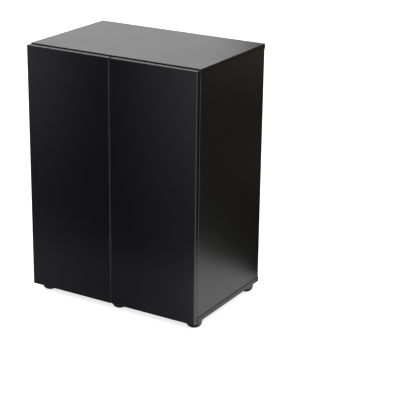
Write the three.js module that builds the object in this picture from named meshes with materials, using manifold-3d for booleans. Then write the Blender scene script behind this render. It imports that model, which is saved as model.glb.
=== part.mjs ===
// Aquarium stand cabinet: a two-door carcass of melamine-faced board on six feet, made to carry a
// tank of the same footprint. The left half is open through the back for pipes and a filter; the
// right half has a back board with a cable hole, and a loose shelf. The doors hang on concealed
// cup hinges and have no handles: a push latch behind each free edge opens them.
//
// Millimetres. +X to the right, +Y to the back, +Z up. The origin is on the ground, in the middle
// of the footprint. Both doors are modelled closed.

import * as THREE from 'three';
import { mergeVertices } from 'three/addons/utils/BufferGeometryUtils.js';
import Module from 'manifold-3d';

const wasm = await Module();
wasm.setup();

// ---------------------------------------------------------------- driving dimensions
const WIDTH = 610;
const DEPTH = 410;
const HEIGHT = 823;

const BOARD = 16; // carcass boards
const DOOR_BOARD = 18;
const DOOR_GAP = 3; // between the carcass front and the back of a door
const DOOR_DROP = 3; // door top below the top surface
const DOOR_SPLIT = 3; // gap between the two doors
const SIDE_REVEAL = 1.5; // sides and back stand in from the top and bottom boards' edges

const DIVIDER_X = 20; // centre line, to the right of the middle
const SHELF_DROP = 381; // shelf's upper face below the top surface
const SHELF_SETBACK = 8;
const SHELF_PLAY = 0.5;
const CABLE_HOLE_RADIUS = 40;
const CABLE_HOLE_DROP = 393;

const FOOT_HEIGHT = 27;
const FOOT_RADIUS = 25;
const FOOT_BASE_RADIUS = 13;
const FOOT_WALL = 9; // upright band at the top of a foot
const FOOT_INSET_SIDE = 30;
const FOOT_INSET_FRONT = 29;
const FOOT_INSET_BACK = 33;
const FOOT_SCREW_RADIUS = 2.5;
const FOOT_SCREW_HEAD = 5.5;
const FOOT_SCREW_SINK = 3;
const FOOT_SCREW_LENGTH = 36;

const UPPER_HINGE_DROP = 117; // hinge centre below the top surface
const LOWER_HINGE_RISE = 75; // hinge centre above the door's lower edge
const CUP_RADIUS = 17.5;
const CUP_DEPTH = 11.5;
const CUP_WALL = 1;
const CUP_EDGE = 22; // cup centre from the door's outer edge
const CUP_FLANGE = 1.2;
const CUP_EAR_REACH = 24;
const CUP_EAR_RADIUS = 7;
const ARM_WIDTH = 14;
const ARM_WALL = 1.4;
const LINK_WIDTH = 10;
const LINK_THICKNESS = 2.8;
const LINK_PIN_RADIUS = 1.2;
const LINK_EYE_RADIUS = 2.3;

const LATCH_X = 53; // each latch from the middle of the cabinet
const LATCH_WIDTH = 27;
const LATCH_HEIGHT = 22;
const LATCH_LENGTH = 50;
const LATCH_SETBACK = 4;
const LATCH_AXIS_DROP = 13.5;
const PLUNGER_RADIUS = 4.9;
const PLUNGER_LENGTH = 46;
const STRIKE_RADIUS = 8;
const STRIKE_THICKNESS = 1.2;

const CAM_RADIUS = 7.5;
const CAM_DEPTH = 12;
const CAM_FROM_END = 24; // cam centre from the end of the board it sits in
const CAM_FROM_EDGE = 60; // side boards: from the front and the back
const BACK_CAM_FROM_EDGE = 38; // back board: from its upright edges
const PIN_RADIUS = 3;
const PIN_PEG_RADIUS = 2.4;
const PIN_PEG_DEPTH = 9;
const PIN_REACH = 8.4;
const PIN_FROM_FRONT = 60;
const PIN_FROM_BACK = 58;

const SEAT_GAP = 0.05; // fittings stand this far off the board they sit on
const FIT_GAP = 0.3; // round fittings in their pockets
const PLUNGER_PLAY = 0.2; // plunger tip to the closed door's strike

// ---------------------------------------------------------------- derived places
const FRONT = -DEPTH / 2 + DOOR_BOARD + DOOR_GAP; // carcass front
const BACK = DEPTH / 2;
const DOOR_BACK = FRONT - DOOR_GAP;
const DOOR_FRONT = DOOR_BACK - DOOR_BOARD;
const DOOR_TOP = HEIGHT - DOOR_DROP;
const SIDE_OUTER = WIDTH / 2 - SIDE_REVEAL;
const SIDE_INNER = SIDE_OUTER - BOARD;
const BOARDS_BACK = BACK - SIDE_REVEAL; // back of the sides, divider and back board
const FLOOR = FOOT_HEIGHT + BOARD; // upper face of the bottom board
const CEILING = HEIGHT - BOARD; // lower face of the top board
const BAY_LEFT = DIVIDER_X + BOARD / 2;
const BAY_CENTRE = (BAY_LEFT + SIDE_INNER) / 2;
const BACK_BOARD_FRONT = BOARDS_BACK - BOARD;
const SHELF_TOP = HEIGHT - SHELF_DROP;
const SHELF_UNDERSIDE = SHELF_TOP - BOARD;
const UPPER_HINGE_Z = HEIGHT - UPPER_HINGE_DROP;
const LOWER_HINGE_Z = FOOT_HEIGHT + LOWER_HINGE_RISE;
const CUP_X = WIDTH / 2 - CUP_EDGE;
const LATCH_Z = CEILING - LATCH_AXIS_DROP;
const PIN_Z = SHELF_UNDERSIDE - SEAT_GAP - PIN_RADIUS;

const SIDES = [{ name: 'left', sign: -1 }, { name: 'right', sign: 1 }];
const LEVELS = [{ name: 'upper', z: UPPER_HINGE_Z }, { name: 'lower', z: LOWER_HINGE_Z }];
const ROUND = 20; // segments of a round fitting
const FINE_ROUND = 28; // segments of a foot, a hinge cup and the cable hole
const SMALL_ROUND = 12; // segments of a shelf pin and a screw

// ---------------------------------------------------------------- materials
function finish(color, roughness, metalness = 0) {
  return new THREE.MeshStandardMaterial({ color, roughness, metalness });
}

const blackBoard = finish(0x19191b, 0.45);
const blackPlastic = finish(0x121213, 0.55);
const darkMetal = finish(0x3a3a3c, 0.4, 0.8);
const nickel = finish(0xb9b8b4, 0.25, 1);

// ---------------------------------------------------------------- helpers
function toSolid(geometry) {
  const bare = geometry.index ? geometry.toNonIndexed() : geometry.clone();
  bare.deleteAttribute('normal');
  bare.deleteAttribute('uv');
  const merged = mergeVertices(bare, 1e-4);
  const vertProperties = new Float32Array(merged.attributes.position.array);
  const triVerts = new Uint32Array(merged.index.array);
  return new wasm.Manifold(new wasm.Mesh({ numProp: 3, vertProperties, triVerts }));
}

function toGeometry(solid) {
  const { vertProperties, triVerts } = solid.getMesh();
  const geometry = new THREE.BufferGeometry();
  geometry.setAttribute('position', new THREE.BufferAttribute(new Float32Array(vertProperties), 3));
  geometry.setIndex(new THREE.BufferAttribute(new Uint32Array(triVerts), 1));
  geometry.computeVertexNormals();
  return geometry;
}

function cut(body, tools) {
  return toGeometry(tools.reduce((rest, tool) => rest.subtract(toSolid(tool)), toSolid(body)));
}

function join(pieces) {
  return toGeometry(pieces.slice(1).reduce((sum, piece) => sum.add(toSolid(piece)), toSolid(pieces[0])));
}

// A box between two corners given as [low, high] on each axis.
function box([x0, x1], [y0, y1], [z0, z1]) {
  const geometry = new THREE.BoxGeometry(x1 - x0, y1 - y0, z1 - z0);
  return geometry.translate((x0 + x1) / 2, (y0 + y1) / 2, (z0 + z1) / 2);
}

// A round solid: profile is a list of [radius, height], turned about the axis 'x', 'y' or 'z' and
// moved to its place. Heights run along the positive axis times direction.
function turned(profile, axis, place, direction = 1, segments = ROUND) {
  const points = profile.map(([radius, height]) => new THREE.Vector2(radius, height));
  const geometry = new THREE.LatheGeometry(points, segments);
  if (axis === 'x') geometry.rotateZ(-direction * Math.PI / 2);
  if (axis === 'y' && direction < 0) geometry.rotateX(Math.PI);
  if (axis === 'z') geometry.rotateX(direction * Math.PI / 2);
  return geometry.translate(...place);
}

function rod(radius, low, high) {
  return [[0, low], [radius, low], [radius, high], [0, high]];
}

// An outline in plan, extruded upwards from z0 to z1.
function plan(points, z0, z1) {
  const shape = new THREE.Shape(points.map(([x, y]) => new THREE.Vector2(x, y)));
  const geometry = new THREE.ExtrudeGeometry(shape, { depth: z1 - z0, bevelEnabled: false });
  return geometry.translate(0, 0, z0);
}

const cabinet = new THREE.Group();

function add(name, geometry, material) {
  const mesh = new THREE.Mesh(geometry, material);
  mesh.name = name;
  cabinet.add(mesh);
}

// ---------------------------------------------------------------- feet and their screws
const FEET = [
  { name: 'front_left', x: FOOT_INSET_SIDE - WIDTH / 2, y: FRONT + FOOT_INSET_FRONT },
  { name: 'front_middle', x: 0, y: FRONT + FOOT_INSET_FRONT },
  { name: 'front_right', x: WIDTH / 2 - FOOT_INSET_SIDE, y: FRONT + FOOT_INSET_FRONT },
  { name: 'rear_left', x: FOOT_INSET_SIDE - WIDTH / 2, y: BACK - FOOT_INSET_BACK },
  { name: 'rear_middle', x: 0, y: BACK - FOOT_INSET_BACK },
  { name: 'rear_right', x: WIDTH / 2 - FOOT_INSET_SIDE, y: BACK - FOOT_INSET_BACK },
];

// A flat base, a quarter-ellipse up to the full radius, and an upright band, with a screw hole.
function footGeometry(x, y) {
  const steps = 6;
  const rise = FOOT_HEIGHT - FOOT_WALL;
  const top = FOOT_HEIGHT - SEAT_GAP;
  const profile = [[0, 0]];
  for (let i = 0; i <= steps; i += 1) {
    const angle = (i / steps) * Math.PI / 2;
    profile.push([
      FOOT_BASE_RADIUS + (FOOT_RADIUS - FOOT_BASE_RADIUS) * Math.sin(angle),
      rise * (1 - Math.cos(angle)),
    ]);
  }
  const hole = FOOT_SCREW_RADIUS + FIT_GAP;
  const holeFloor = FLOOR - FOOT_SCREW_LENGTH - 2;
  profile.push([FOOT_RADIUS, top], [hole, top], [hole, holeFloor], [0, holeFloor]);
  return turned(profile, 'z', [x, y, 0], 1, FINE_ROUND);
}

// A countersunk screw whose head lies level with the cabinet floor, with a hexagon socket.
function footScrewGeometry(x, y) {
  const head = FLOOR - SEAT_GAP;
  const tip = FLOOR - FOOT_SCREW_LENGTH;
  const screw = turned([
    [0, tip], [FOOT_SCREW_RADIUS - 1, tip], [FOOT_SCREW_RADIUS, tip + 2],
    [FOOT_SCREW_RADIUS, head - FOOT_SCREW_SINK], [FOOT_SCREW_HEAD, head], [0, head],
  ], 'z', [x, y, 0], 1, SMALL_ROUND);
  const socket = new THREE.CylinderGeometry(2.1, 2.1, 4, 6).rotateX(Math.PI / 2);
  return cut(screw, [socket.translate(x, y, head)]);
}

function footScrewHole(x, y) {
  const shank = FOOT_SCREW_RADIUS + FIT_GAP;
  const mouth = FOOT_SCREW_HEAD + FIT_GAP;
  return turned([
    [0, FOOT_HEIGHT - 1], [shank, FOOT_HEIGHT - 1],
    [shank, FLOOR - FOOT_SCREW_SINK - FIT_GAP], [mouth, FLOOR], [mouth, FLOOR + 1], [0, FLOOR + 1],
  ], 'z', [x, y, 0]);
}

for (const { name, x, y } of FEET) {
  add(`foot_${name}`, footGeometry(x, y), blackPlastic);
  add(`foot_screw_${name}`, footScrewGeometry(x, y), darkMetal);
}

// ---------------------------------------------------------------- cam locks
const CAM_LEVELS = [
  { name: 'top', z: CEILING - CAM_FROM_END },
  { name: 'bottom', z: FLOOR + CAM_FROM_END },
];
const SIDE_CAM_ROWS = [
  { name: 'front', y: FRONT + CAM_FROM_EDGE },
  { name: 'rear', y: BOARDS_BACK - CAM_FROM_EDGE },
];
const BACK_CAM_COLUMNS = [
  { name: 'left', x: BAY_LEFT + BACK_CAM_FROM_EDGE },
  { name: 'right', x: SIDE_INNER - BACK_CAM_FROM_EDGE },
];

// A cam lies in its pocket with its slotted face just under the board's surface.
function camGeometry(axis, place, direction) {
  const body = turned(rod(CAM_RADIUS, SEAT_GAP, CAM_DEPTH), axis, place, direction);
  const slot = [-CAM_RADIUS * 0.7, CAM_RADIUS * 0.7];
  const narrow = [-1, 1];
  const deep = [-2.5, 2.5];
  const bars = axis === 'x'
    ? [box(deep, slot, narrow), box(deep, narrow, slot)]
    : [box(slot, deep, narrow), box(narrow, deep, slot)];
  return cut(body, bars.map((bar) => bar.translate(...place)));
}

function camPocket(axis, place, direction) {
  return turned(rod(CAM_RADIUS + FIT_GAP, -1, CAM_DEPTH + FIT_GAP), axis, place, direction);
}

const sideCams = (sign) => CAM_LEVELS.flatMap((level) => SIDE_CAM_ROWS.map((row) => ({
  name: `${row.name}_${level.name}`, place: [sign * SIDE_INNER, row.y, level.z],
})));
const backCams = CAM_LEVELS.flatMap((level) => BACK_CAM_COLUMNS.map((column) => ({
  name: `${level.name}_${column.name}`, place: [column.x, BACK_BOARD_FRONT, level.z],
})));

for (const { name, sign } of SIDES) {
  for (const cam of sideCams(sign)) {
    add(`cam_lock_${name}_${cam.name}`, camGeometry('x', cam.place, sign), darkMetal);
  }
}
for (const cam of backCams) add(`cam_lock_back_${cam.name}`, camGeometry('y', cam.place, 1), darkMetal);

// ---------------------------------------------------------------- shelf pins
const PIN_ROWS = [
  { name: 'front', y: FRONT + PIN_FROM_FRONT },
  { name: 'rear', y: BACK_BOARD_FRONT - PIN_FROM_BACK },
];
const PIN_WALLS = [
  { name: 'left', x: BAY_LEFT, into: -1 },
  { name: 'right', x: SIDE_INNER, into: 1 },
];

// A peg in the wall and a thicker stub that the shelf lies on. Heights run into the wall.
function pinGeometry(wall, y) {
  return turned([
    [0, -PIN_REACH], [PIN_RADIUS - 0.4, -PIN_REACH], [PIN_RADIUS, -PIN_REACH + 0.4],
    [PIN_RADIUS, -SEAT_GAP], [PIN_PEG_RADIUS, -SEAT_GAP], [PIN_PEG_RADIUS, PIN_PEG_DEPTH],
    [0, PIN_PEG_DEPTH],
  ], 'x', [wall.x, y, PIN_Z], wall.into, SMALL_ROUND);
}

function pinHoles(wall) {
  const hole = rod(PIN_PEG_RADIUS + FIT_GAP, -1, PIN_PEG_DEPTH + FIT_GAP);
  return PIN_ROWS.map((row) => turned(hole, 'x', [wall.x, row.y, PIN_Z], wall.into, SMALL_ROUND));
}

for (const wall of PIN_WALLS) {
  for (const row of PIN_ROWS) add(`shelf_pin_${row.name}_${wall.name}`, pinGeometry(wall, row.y), nickel);
}

// ---------------------------------------------------------------- carcass boards
const FULL_WIDTH = [-WIDTH / 2, WIDTH / 2];
const UPRIGHT_DEPTH = [FRONT, BOARDS_BACK];
const INSIDE_HEIGHT = [FLOOR, CEILING];

add('top_panel', box(FULL_WIDTH, [FRONT, BACK], [CEILING, HEIGHT]), blackBoard);
add('bottom_panel', cut(
  box(FULL_WIDTH, [FRONT, BACK], [FOOT_HEIGHT, FLOOR]),
  FEET.map(({ x, y }) => footScrewHole(x, y)),
), blackBoard);

for (const { name, sign } of SIDES) {
  const across = [sign * SIDE_INNER, sign * SIDE_OUTER].sort((a, b) => a - b);
  const pockets = sideCams(sign).map((cam) => camPocket('x', cam.place, sign));
  const holes = PIN_WALLS.filter((wall) => wall.name === name && sign > 0).flatMap(pinHoles);
  const panel = box(across, UPRIGHT_DEPTH, INSIDE_HEIGHT);
  add(`${name}_side_panel`, cut(panel, [...pockets, ...holes]), blackBoard);
}

add('center_divider', cut(
  box([DIVIDER_X - BOARD / 2, BAY_LEFT], UPRIGHT_DEPTH, INSIDE_HEIGHT),
  pinHoles(PIN_WALLS[0]),
), blackBoard);

const cableHole = turned(
  rod(CABLE_HOLE_RADIUS, -1, BOARD + 1),
  'y',
  [BAY_CENTRE, BACK_BOARD_FRONT, HEIGHT - CABLE_HOLE_DROP],
  1,
  FINE_ROUND,
);
add('back_panel', cut(
  box([BAY_LEFT, SIDE_INNER], [BACK_BOARD_FRONT, BOARDS_BACK], INSIDE_HEIGHT),
  [cableHole, ...backCams.map((cam) => camPocket('y', cam.place, 1))],
), blackBoard);

add('shelf', box(
  [BAY_LEFT + SHELF_PLAY, SIDE_INNER - SHELF_PLAY],
  [FRONT + SHELF_SETBACK, BACK_BOARD_FRONT - SHELF_PLAY],
  [SHELF_UNDERSIDE, SHELF_TOP],
), blackBoard);

// ---------------------------------------------------------------- doors
for (const { name, sign } of SIDES) {
  const across = [sign * DOOR_SPLIT / 2, sign * WIDTH / 2].sort((a, b) => a - b);
  const bore = rod(CUP_RADIUS + FIT_GAP, -1, CUP_DEPTH + FIT_GAP);
  const bores = LEVELS.map(({ z }) => turned(bore, 'y', [sign * CUP_X, DOOR_BACK, z], -1, FINE_ROUND));
  const panel = box(across, [DOOR_FRONT, DOOR_BACK], [FOOT_HEIGHT, DOOR_TOP]);
  add(`${name}_door`, cut(panel, bores), blackBoard);
}

// ---------------------------------------------------------------- concealed hinges
// Places in a hinge are given as [inward, back]: inward from the side board's inner face, and back
// from the carcass front. inPlan turns them into x and y for the left or the right side.
function inPlan(sign, points) {
  return points.map(([inward, back]) => [sign * (SIDE_INNER - inward), FRONT + back]);
}

const LINK_PIVOT = [15, 0.75];
const LINK_KNEE = [5.5, -10];
const LINK_TIP = [-8.9, -10.2];

// Mounting plate: a cross on the side board and a raised rail under the arm.
function plateGeometry(sign, z) {
  const wing = { back: 37, halfWidth: 7, halfHeight: 31 };
  const foot = { from: 18, to: 62, halfHeight: 8, thickness: 2 };
  const rail = { from: 22, to: 58, halfHeight: 5, height: 9 };
  const slab = (low, high, from, to, halfHeight) => {
    const x = [sign * (SIDE_INNER - low), sign * (SIDE_INNER - high)].sort((a, b) => a - b);
    return box(x, [FRONT + from, FRONT + to], [z - halfHeight, z + halfHeight]);
  };
  return join([
    slab(SEAT_GAP, foot.thickness, foot.from, foot.to, foot.halfHeight),
    slab(SEAT_GAP, foot.thickness, wing.back - wing.halfWidth, wing.back + wing.halfWidth, wing.halfHeight),
    slab(1, rail.height, rail.from, rail.to, rail.halfHeight),
  ]);
}

// Arm: a channel over the rail, with a nose that holds the link's pin between its two cheeks.
function armGeometry(sign, z) {
  const outer = [[3.5, 62], [10, 62], [11.5, 60], [11.5, 24], [19, 12], [19.5, 3], [17.6, -2.4],
    [14.6, -3.2], [11.2, -1.6], [9.5, 4], [3.5, 14]];
  const inner = [[2, 64], [10, 64], [10, 23.5], [17.6, 11.4], [17.6, -5], [2, -5]];
  const half = ARM_WIDTH / 2;
  const channel = cut(
    plan(inPlan(sign, outer), z - half, z + half),
    [plan(inPlan(sign, inner), z - half + ARM_WALL, z + half - ARM_WALL)],
  );
  const [x, y] = inPlan(sign, [LINK_PIVOT])[0];
  return join([channel, turned(rod(LINK_PIN_RADIUS, 0.4 - half, half - 0.4), 'z', [x, y, z])]);
}

// Link: a bent strip from the arm's pin into the cup. Its free end lies loose in the cup.
function linkGeometry(sign, z) {
  const steps = 10;
  const half = LINK_WIDTH / 2;
  const [start, knee, tip] = inPlan(sign, [LINK_PIVOT, LINK_KNEE, LINK_TIP]).map(
    ([x, y]) => new THREE.Vector2(x, y),
  );
  const control = knee.clone().multiplyScalar(2).addScaledVector(start, -0.5).addScaledVector(tip, -0.5);
  const curve = new THREE.QuadraticBezierCurve(start, control, tip);
  const edge = (offset) => Array.from({ length: steps + 1 }, (_, i) => {
    const tangent = curve.getTangent(i / steps);
    const point = curve.getPoint(i / steps);
    return [point.x - tangent.y * offset, point.y + tangent.x * offset];
  });
  const outline = [...edge(LINK_THICKNESS / 2), ...edge(-LINK_THICKNESS / 2).reverse()];
  const eye = turned(rod(LINK_EYE_RADIUS, -half, half), 'z', [start.x, start.y, z]);
  const bore = turned(rod(LINK_PIN_RADIUS + 0.1, -half - 1, half + 1), 'z', [start.x, start.y, z]);
  return cut(join([plan(outline, z - half, z + half), eye]), [bore]);
}

// Cup: a pressed bowl in the door with a flange that has an ear above and below for its screws.
function cupGeometry(sign, z) {
  const place = [sign * CUP_X, DOOR_BACK, z];
  const bowl = turned(rod(CUP_RADIUS, -CUP_FLANGE, CUP_DEPTH), 'y', place, -1, FINE_ROUND);
  const rim = turned(rod(CUP_RADIUS + 1.5, -CUP_FLANGE, -SEAT_GAP), 'y', place, -1, FINE_ROUND);
  const ears = [-1, 1].map((way) => turned(
    rod(CUP_EAR_RADIUS, -CUP_FLANGE, -SEAT_GAP), 'y', [place[0], place[1], z + way * CUP_EAR_REACH], -1,
  ));
  const web = box(
    [place[0] - CUP_EAR_RADIUS, place[0] + CUP_EAR_RADIUS],
    [DOOR_BACK + SEAT_GAP, DOOR_BACK + CUP_FLANGE],
    [z - CUP_EAR_REACH, z + CUP_EAR_REACH],
  );
  const hollow = rod(CUP_RADIUS - CUP_WALL, -CUP_FLANGE - 1, CUP_DEPTH - CUP_WALL);
  return cut(join([bowl, rim, web, ...ears]), [turned(hollow, 'y', place, -1, FINE_ROUND)]);
}

for (const { name, sign } of SIDES) {
  for (const level of LEVELS) {
    const prefix = `${level.name}_${name}_hinge`;
    add(`${prefix}_plate`, plateGeometry(sign, level.z), nickel);
    add(`${prefix}_arm`, armGeometry(sign, level.z), nickel);
    add(`${prefix}_link`, linkGeometry(sign, level.z), nickel);
    add(`${prefix}_cup`, cupGeometry(sign, level.z), nickel);
  }
}

// ---------------------------------------------------------------- push latches
// Housing: an upside-down arch under the top board with a bore for the plunger.
function latchGeometry(x) {
  const corner = 9;
  const half = LATCH_WIDTH / 2;
  const shape = new THREE.Shape();
  shape.moveTo(-half, 0);
  shape.lineTo(-half, corner - LATCH_HEIGHT);
  shape.absarc(corner - half, corner - LATCH_HEIGHT, corner, Math.PI, Math.PI * 1.5);
  shape.absarc(half - corner, corner - LATCH_HEIGHT, corner, -Math.PI / 2, 0);
  shape.lineTo(half, 0);
  const block = new THREE.ExtrudeGeometry(shape, {
    depth: LATCH_LENGTH, bevelEnabled: false, curveSegments: 8,
  });
  block.rotateX(Math.PI / 2).translate(x, FRONT + LATCH_SETBACK + LATCH_LENGTH, CEILING - SEAT_GAP);
  const depth = PLUNGER_LENGTH + 1;
  const bore = rod(PLUNGER_RADIUS + FIT_GAP, -10, depth);
  return cut(block, [turned(bore, 'y', [x, FRONT, LATCH_Z])]);
}

function plungerGeometry(x) {
  const tip = STRIKE_THICKNESS + PLUNGER_PLAY - DOOR_GAP;
  return turned([
    [0, tip], [PLUNGER_RADIUS - 1.6, tip], [PLUNGER_RADIUS - 0.5, tip + 0.5],
    [PLUNGER_RADIUS, tip + 1.6], [PLUNGER_RADIUS, PLUNGER_LENGTH], [0, PLUNGER_LENGTH],
  ], 'y', [x, FRONT, LATCH_Z]);
}

function strikeGeometry(x) {
  return turned([
    [0, SEAT_GAP], [STRIKE_RADIUS, SEAT_GAP], [STRIKE_RADIUS, STRIKE_THICKNESS - 0.4],
    [STRIKE_RADIUS - 0.6, STRIKE_THICKNESS], [0, STRIKE_THICKNESS],
  ], 'y', [x, DOOR_BACK, LATCH_Z]);
}

for (const { name, sign } of SIDES) {
  const x = sign * LATCH_X;
  add(`${name}_latch_housing`, latchGeometry(x), blackPlastic);
  add(`${name}_latch_plunger`, plungerGeometry(x), nickel);
  add(`${name}_strike_plate`, strikeGeometry(x), nickel);
}

export default cabinet;
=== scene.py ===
"""Looks of the aquarium stand cabinet: banded melamine boards, moulded feet, nickel hinges and latches,
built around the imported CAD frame. Shapes are worked out in millimetres and stored in metres."""

import math

import bmesh
import bpy
from mathutils import Matrix, Vector


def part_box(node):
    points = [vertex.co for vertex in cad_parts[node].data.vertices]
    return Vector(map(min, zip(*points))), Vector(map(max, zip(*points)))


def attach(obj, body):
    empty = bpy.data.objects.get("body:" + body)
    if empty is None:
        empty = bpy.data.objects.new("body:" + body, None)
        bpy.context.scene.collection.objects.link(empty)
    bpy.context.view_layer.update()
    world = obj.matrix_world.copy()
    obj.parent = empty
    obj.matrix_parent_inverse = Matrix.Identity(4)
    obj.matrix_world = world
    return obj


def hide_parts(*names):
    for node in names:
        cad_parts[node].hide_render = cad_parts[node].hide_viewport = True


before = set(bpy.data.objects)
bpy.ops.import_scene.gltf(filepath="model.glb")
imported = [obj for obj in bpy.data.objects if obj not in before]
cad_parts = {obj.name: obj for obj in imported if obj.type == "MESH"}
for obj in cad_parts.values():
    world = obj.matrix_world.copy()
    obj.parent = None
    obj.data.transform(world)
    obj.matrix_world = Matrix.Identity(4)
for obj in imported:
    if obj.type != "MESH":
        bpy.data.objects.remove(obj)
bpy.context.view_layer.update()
MM = 0.001


# ---------------------------------------------------------------- places taken from the frame, in mm
def box_mm(node):
    low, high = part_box(node)
    return [v / MM for v in low], [v / MM for v in high]


def centre_of(node):
    low, high = box_mm(node)
    return [(a + b) / 2 for a, b in zip(low, high)]


FRONT = box_mm("right_side_panel")[0][1]  # the front edge of the side boards
SIDE_INNER = box_mm("right_side_panel")[0][0]  # the right side board's inner face; the left one mirrors it
BAY_LEFT = box_mm("center_divider")[1][0]  # the right bay runs from here to SIDE_INNER
BACK_BOARD_FRONT, BACK_BOARD_REAR = (corner[1] for corner in box_mm("back_panel"))
DOOR_BACK = box_mm("right_door")[1][1]
FLOOR_UNDER, FLOOR_TOP = (corner[2] for corner in box_mm("bottom_panel"))

AXES = {"x": (1, 0, 0), "y": (0, 1, 0), "z": (0, 0, 1)}
SIDES = (("left", -1), ("right", 1))
LEVELS = ("upper", "lower")
FEET = ("front_left", "front_middle", "front_right", "rear_left", "rear_middle", "rear_right")
BACK_CAMS = [f"cam_lock_back_{level}_{side}" for level in ("top", "bottom") for side in ("left", "right")]
PIN_WALLS = {"left": (BAY_LEFT, -1), "right": (SIDE_INNER, 1)}  # the wall's face, and the way into it

# ---------------------------------------------------------------- sizes of the details, in mm
SEAM_HALF = 0.12  # half the width of the joint line between a board's face and its banding
SEAM_DEPTH = 0.10
EDGE_RADIUS = 0.8
DOOR_EDGE_RADIUS = 1.3
CORNER_RADIUS = 1.4

CAM_RADIUS = 7.5
CAM_LENGTH = 11.8
CAM_POCKET = 12.4
NOTCH_UP = 6.0  # from a cam's centre to its pointer notch
PEG_RADIUS = 2.4
PEG_HOLE = 9.3
CABLE_HOLE_RADIUS = 40.0
SHELF_TO_HOLE = 12.0  # the cable hole's centre is this far below the shelf's upper face
BAR_RATIO = 0.22  # width of a cross recess's bars, as a share of their length

FOOT_BASE_RADIUS = 13.0
FOOT_WALL = 9.0  # height of a foot's straight upper wall
FOOT_BORE_RADIUS = 2.8
FOOT_BORE_DEPTH = 20.0
BOLT_RADIUS = 2.5
BOLT_HEAD_RADIUS = 5.5

CUP_RADIUS = 17.5
CUP_DEPTH = 11.5
CUP_BORE_DEPTH = 11.8
EAR_REACH = 24.0  # from the cup's centre to its screws
EAR_RADIUS = 7.0
PLATE_SCREW_REACH = 16.0  # from the hinge's centre height to the mounting plate's screws

LATCH_CORNER = 9.0
LATCH_SCREWS = (26, 42)  # distances behind the latch's front
LATCH_SEAM = 17.0
PLUNGER_RADIUS = 4.8

HUGE = 96  # segments of a round piece, from the cable hole down to the screws
FINE = 72
MEDIUM = 40
SMALL = 24
HEXAGON = 6


# ---------------------------------------------------------------- mesh helpers
def make_object(name, mesh, *materials):
    obj = bpy.data.objects.new(name, mesh)
    bpy.context.scene.collection.objects.link(obj)
    for material in materials:
        mesh.materials.append(material)
    return obj


def from_bmesh(name, bm, *materials):
    bmesh.ops.recalc_face_normals(bm, faces=bm.faces)
    for vert in bm.verts:
        vert.co *= MM
    mesh = bpy.data.meshes.new(name)
    bm.to_mesh(mesh)
    bm.free()
    return make_object(name, mesh, *materials)


def apply_modifiers(obj):
    bpy.context.view_layer.update()
    evaluated = obj.evaluated_get(bpy.context.evaluated_depsgraph_get())
    mesh = bpy.data.meshes.new_from_object(evaluated)
    mesh.name = obj.name
    obj.modifiers.clear()
    obj.data = mesh
    return obj


def smooth(obj, angle=32):
    """Smooth shading with sharp edges kept, and flat faces kept flat by weighted normals."""
    obj.data.shade_smooth()
    obj.data.set_sharp_from_angle(angle=math.radians(angle))
    weighted = obj.modifiers.new("weighted", "WEIGHTED_NORMAL")
    weighted.keep_sharp = True
    return apply_modifiers(obj)


def round_edges(obj, width, segments=2, angle=35):
    bevel = obj.modifiers.new("bevel", "BEVEL")
    bevel.width = width * MM
    bevel.segments = segments
    bevel.limit_method = "ANGLE"
    bevel.angle_limit = math.radians(angle)
    bevel.harden_normals = False
    return apply_modifiers(obj)


def combine(obj, others, operation):
    """Joins or cuts obj with the other objects, which are used up."""
    for other in others:
        change = obj.modifiers.new("change", "BOOLEAN")
        change.object = other
        change.operation = operation
        change.solver = "EXACT"
        change.material_mode = "TRANSFER"
        apply_modifiers(obj)
        bpy.data.objects.remove(other)
    return obj


def merge(name, objects):
    """One object from several, each keeping its materials and shading."""
    bpy.ops.object.select_all(action="DESELECT")
    for obj in objects:
        obj.select_set(True)
    bpy.context.view_layer.objects.active = objects[0]
    bpy.ops.object.join()
    objects[0].name = name
    objects[0].data.name = name
    return objects[0]


def arc_steps(start, end, steps):
    return [start + (end - start) * i / steps for i in range(steps + 1)]


def turned(name, profile, axis, place, direction, segments, *materials):
    """A round solid: profile is a list of (radius, height) that starts and ends on the axis, or closes on
    itself. Heights run from place along the axis, forwards or backwards by the sign of direction."""
    bm = bmesh.new()
    turn = arc_steps(0, 2 * math.pi, segments)[:-1]
    rings = []
    for radius, height in profile:
        if radius == 0:
            rings.append([bm.verts.new((0, 0, height))])
        else:
            rings.append([bm.verts.new((radius * math.cos(a), radius * math.sin(a), height)) for a in turn])
    for low, high in zip(rings, rings[1:]):
        for i in range(segments):
            j = (i + 1) % segments
            corners = [low[i % len(low)], low[j % len(low)], high[j % len(high)], high[i % len(high)]]
            unique = list(dict.fromkeys(corners))
            if len(unique) > 2:
                bm.faces.new(unique)
    aim = Vector(AXES[axis]) * direction
    onto = Vector((0, 0, 1)).rotation_difference(aim).to_matrix().to_4x4()
    bmesh.ops.transform(bm, matrix=Matrix.Translation(place) @ onto, verts=bm.verts)
    return from_bmesh(name, bm, *materials)


def rod(radius, low, high):
    return [(0, low), (radius, low), (radius, high), (0, high)]


def rounded_rod(radius, low, high, edge):
    """A rod whose two rims are rounded by edge."""
    arc = arc_steps(0, math.pi / 2, 4)
    lower = [(radius - edge + edge * math.sin(a), low + edge - edge * math.cos(a)) for a in arc]
    upper = [(radius - edge + edge * math.cos(a), high - edge + edge * math.sin(a)) for a in arc]
    return [(0, low), *lower, *upper, (0, high)]


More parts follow.
